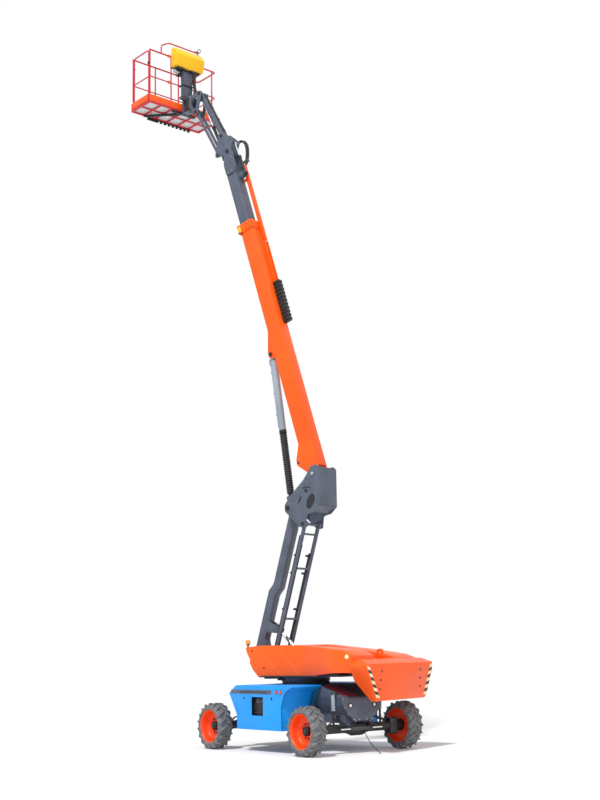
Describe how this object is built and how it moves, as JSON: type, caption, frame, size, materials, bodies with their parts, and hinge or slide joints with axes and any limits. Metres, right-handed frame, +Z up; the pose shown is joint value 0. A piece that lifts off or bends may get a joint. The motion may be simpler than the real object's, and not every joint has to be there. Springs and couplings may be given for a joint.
{
  "type": "boom lift",
  "caption": "Wheeled articulating boom lift with a two-tube riser, telescopic main boom, levelled jib and a rotating railed work platform.",
  "frame": {"origin": "on the floor under the slewing centre, midway between the axles", "axes": "+X along the chassis towards the steered axle, +Y to its left, +Z up; the upper structure is slewed 16 degrees and the platform hangs on the -X side"},
  "size_m": [5.928, 3.3198, 14.6644],
  "materials": {
    "amber_lens": "clear amber plastic",
    "black_paint": "satin black paint",
    "black_plastic": "matte black plastic",
    "black_rubber": "matte black rubber",
    "blue_paint": "gloss blue paint on sheet steel",
    "cast_iron": "raw cast iron",
    "chrome_rod": "polished chromed steel",
    "orange_paint": "gloss orange paint on steel",
    "pad_plastic": "matte yellow plastic",
    "red_paint": "gloss red paint on tube",
    "rim_paint": "gloss orange paint on the rims, black hubs",
    "silver_paint": "satin silver blue paint",
    "slate_paint": "satin slate grey paint",
    "tyre_rubber": "matte dark grey rubber",
    "yellow_plastic": "gloss yellow plastic"
  },
  "bodies": {
    "chassis": {"chassis_frame": "slate_paint", "side_cover_right": "blue_paint", "side_cover_left": "blue_paint", "front_hood": "slate_paint", "rear_hood": "slate_paint", "front_axle": "black_paint", "rear_axle": "black_paint", "ground_strap": "black_rubber"},
    "knuckle_right": {"knuckle_right": "black_paint"},
    "knuckle_left": {"knuckle_left": "black_paint"},
    "wheel_front_right": {"tyre_front_right": "tyre_rubber", "rim_front_right": "rim_paint"},
    "wheel_front_left": {"tyre_front_left": "tyre_rubber", "rim_front_left": "rim_paint"},
    "wheel_rear_right": {"tyre_rear_right": "tyre_rubber", "rim_rear_right": "rim_paint"},
    "wheel_rear_left": {"tyre_rear_left": "tyre_rubber", "rim_rear_left": "rim_paint"},
    "turntable": {"turntable_frame": "slate_paint", "turntable_cover_right": "orange_paint", "turntable_cover_left": "orange_paint", "engine_block": "cast_iron", "hydraulic_tank": "black_paint", "counterweight": "orange_paint", "beacon": "amber_lens"},
    "riser": {"riser_arm": "slate_paint"},
    "links": {"riser_links": "slate_paint"},
    "riser_ram_barrel": {"riser_ram_barrel": "black_paint"},
    "riser_ram_rod": {"riser_ram_rod": "chrome_rod"},
    "upright": {"upright": "slate_paint"},
    "boom": {"boom_base": "orange_paint", "boom_collar": "orange_paint", "wear_pads": "pad_plastic", "energy_chain": "black_plastic"},
    "lift_ram_barrel": {"lift_ram_barrel": "silver_paint"},
    "lift_ram_rod": {"lift_ram_rod": "black_rubber"},
    "fly": {"fly_boom": "slate_paint", "hose_channel": "orange_paint"},
    "level_ram_barrel": {"level_ram_barrel": "black_paint"},
    "level_ram_rod": {"level_ram_rod": "chrome_rod"},
    "jib_bracket": {"jib_bracket": "slate_paint"},
    "jib_arm": {"jib_arm": "slate_paint"},
    "jib_links": {"jib_links": "slate_paint"},
    "jib_ram_barrel": {"jib_ram_barrel": "black_paint"},
    "jib_ram_rod": {"jib_ram_rod": "chrome_rod"},
    "jib_head": {"jib_head": "black_paint"},
    "platform": {"platform_post": "slate_paint", "platform_floor": "red_paint", "kick_plates": "orange_paint", "platform_rails": "red_paint", "console_cover": "yellow_plastic", "step_bar": "black_paint"},
    "gate": {"gate": "red_paint"}
  },
  "joints": [
    {"name": "slew", "type": "hinge", "parent": "chassis", "child": "turntable", "pos_m": [0, 0, 1.25], "axis": [0, 0, 1], "continuous": true},
    {"name": "riser", "type": "hinge", "parent": "turntable", "child": "riser", "pos_m": [-0.92281, -0.26461, 1.74], "axis": [0.2756, -0.9613, 0], "range_deg": [-66.5, 2.5]},
    {"name": "riser_links_hinge", "type": "hinge", "parent": "turntable", "child": "links", "pos_m": [-0.59598, -0.1709, 1.42], "axis": [0.2756, -0.9613, 0], "range_deg": [-66.5, 2.5]},
    {"name": "upright_hinge", "type": "hinge", "parent": "riser", "child": "upright", "pos_m": [-0.11634, -0.03336, 4.40087], "axis": [0.2756, -0.9613, 0], "range_deg": [-2.5, 66.5]},
    {"name": "riser_ram_pivot", "type": "hinge", "parent": "turntable", "child": "riser_ram_barrel", "pos_m": [0.19225, 0.05513, 1.42], "axis": [-0.2756, 0.9613, 0], "range_deg": [-30.26, 1.62]},
    {"name": "riser_ram_stroke", "type": "slide", "parent": "riser_ram_barrel", "child": "riser_ram_rod", "axis": [-0.7077, -0.2029, 0.6768], "range_m": [-0.42284, 0.01782]},
    {"name": "boom", "type": "hinge", "parent": "upright", "child": "boom", "pos_m": [0.4508, 0.12927, 5.00087], "axis": [-0.2756, 0.9613, 0], "range_deg": [-73.6, 2.4]},
    {"name": "lift_ram_pivot", "type": "hinge", "parent": "boom", "child": "lift_ram_barrel", "pos_m": [-0.59552, -0.17076, 7.49502], "axis": [-0.2756, 0.9613, 0], "range_deg": [-8.39, 0.76]},
    {"name": "lift_ram_stroke", "type": "slide", "parent": "lift_ram_barrel", "child": "lift_ram_rod", "axis": [0.1225, 0.0351, -0.9918], "range_m": [-0.91937, 0.03191]},
    {"name": "telescope", "type": "slide", "parent": "boom", "child": "fly", "axis": [-0.2714, -0.0778, 0.9593], "range_m": [-0.95, 0.45]},
    {"name": "bracket_hinge", "type": "hinge", "parent": "fly", "child": "jib_bracket", "pos_m": [-1.56354, -0.44834, 12.01458], "axis": [-0.2756, 0.9613, 0], "range_deg": [-2.4, 73.6]},
    {"name": "level_ram_pivot", "type": "hinge", "parent": "fly", "child": "level_ram_barrel", "pos_m": [-1.21442, -0.34823, 11.49602], "axis": [-0.2756, 0.9613, 0], "range_deg": [-0.63, 4.39]},
    {"name": "level_ram_stroke", "type": "slide", "parent": "level_ram_barrel", "child": "level_ram_rod", "axis": [-0.3387, -0.0971, 0.9359], "range_m": [-0.26173, 0.01047]},
    {"name": "jib", "type": "hinge", "parent": "jib_bracket", "child": "jib_arm", "pos_m": [-1.73657, -0.49795, 12.41458], "axis": [-0.2756, 0.9613, 0], "range_deg": [-122, 8]},
    {"name": "jib_links_hinge", "type": "hinge", "parent": "jib_bracket", "child": "jib_links", "pos_m": [-1.83269, -0.52552, 12.01458], "axis": [-0.2756, 0.9613, 0], "range_deg": [-122, 8]},
    {"name": "jib_head_hinge", "type": "hinge", "parent": "jib_arm", "child": "jib_head", "pos_m": [-2.32324, -0.66618, 13.56241], "axis": [-0.2756, 0.9613, 0], "range_deg": [-8, 122]},
    {"name": "jib_ram_pivot", "type": "hinge", "parent": "jib_bracket", "child": "jib_ram_barrel", "pos_m": [-1.78944, -0.51311, 12.14458], "axis": [-0.2756, 0.9613, 0], "range_deg": [-126.01, 8.73]},
    {"name": "jib_ram_stroke", "type": "slide", "parent": "jib_ram_barrel", "child": "jib_ram_rod", "axis": [-0.3792, -0.1087, 0.9189], "range_m": [-0.4801, 0.03335]},
    {"name": "platform_rotate", "type": "hinge", "parent": "jib_head", "child": "platform", "pos_m": [-2.65968, -0.76265, 13.56241], "axis": [0, 0, 1], "range_deg": [-78, 102]},
    {"name": "gate_hinge", "type": "hinge", "parent": "platform", "child": "gate", "pos_m": [-3.45086, -1.70514, 13.93441], "axis": [0, 0, 1], "range_deg": [0, 90]},
    {"name": "steer_right", "type": "hinge", "parent": "chassis", "child": "knuckle_right", "pos_m": [1.4, -0.88, 0.419], "axis": [0, 0, 1], "range_deg": [-35, 35]},
    {"name": "steer_left", "type": "hinge", "parent": "chassis", "child": "knuckle_left", "pos_m": [1.4, 0.88, 0.419], "axis": [0, 0, 1], "range_deg": [-35, 35]},
    {"name": "wheel_front_right_spin", "type": "hinge", "parent": "knuckle_right", "child": "wheel_front_right", "pos_m": [1.4, -1.09, 0.419], "axis": [0, 1, 0], "continuous": true},
    {"name": "wheel_front_left_spin", "type": "hinge", "parent": "knuckle_left", "child": "wheel_front_left", "pos_m": [1.4, 1.09, 0.419], "axis": [0, 1, 0], "continuous": true},
    {"name": "wheel_rear_right_spin", "type": "hinge", "parent": "chassis", "child": "wheel_rear_right", "pos_m": [-1.4, -1.09, 0.419], "axis": [0, 1, 0], "continuous": true},
    {"name": "wheel_rear_left_spin", "type": "hinge", "parent": "chassis", "child": "wheel_rear_left", "pos_m": [-1.4, 1.09, 0.419], "axis": [0, 1, 0], "continuous": true}
  ],
  "couplings": [
    {"joint": "riser_links_hinge", "follows": "riser", "ratio": 1},
    {"joint": "upright_hinge", "follows": "riser", "ratio": -1},
    {"joint": "riser_ram_pivot", "follows": "riser", "ratio": 0.44756},
    {"joint": "riser_ram_stroke", "follows": "riser", "m_per_rad": 0.36259},
    {"joint": "lift_ram_pivot", "follows": "boom", "ratio": 0.10722},
    {"joint": "lift_ram_stroke", "follows": "boom", "m_per_rad": 0.71415},
    {"joint": "bracket_hinge", "follows": "boom", "ratio": -1},
    {"joint": "level_ram_pivot", "follows": "boom", "ratio": -0.05291},
    {"joint": "level_ram_stroke", "follows": "boom", "m_per_rad": 0.20219},
    {"joint": "jib_links_hinge", "follows": "jib", "ratio": 1},
    {"joint": "jib_head_hinge", "follows": "jib", "ratio": -1},
    {"joint": "jib_ram_pivot", "follows": "jib", "ratio": 1.0287},
    {"joint": "jib_ram_stroke", "follows": "jib", "m_per_rad": 0.22453},
    {"joint": "steer_left", "follows": "steer_right", "ratio": 1}
  ]
}
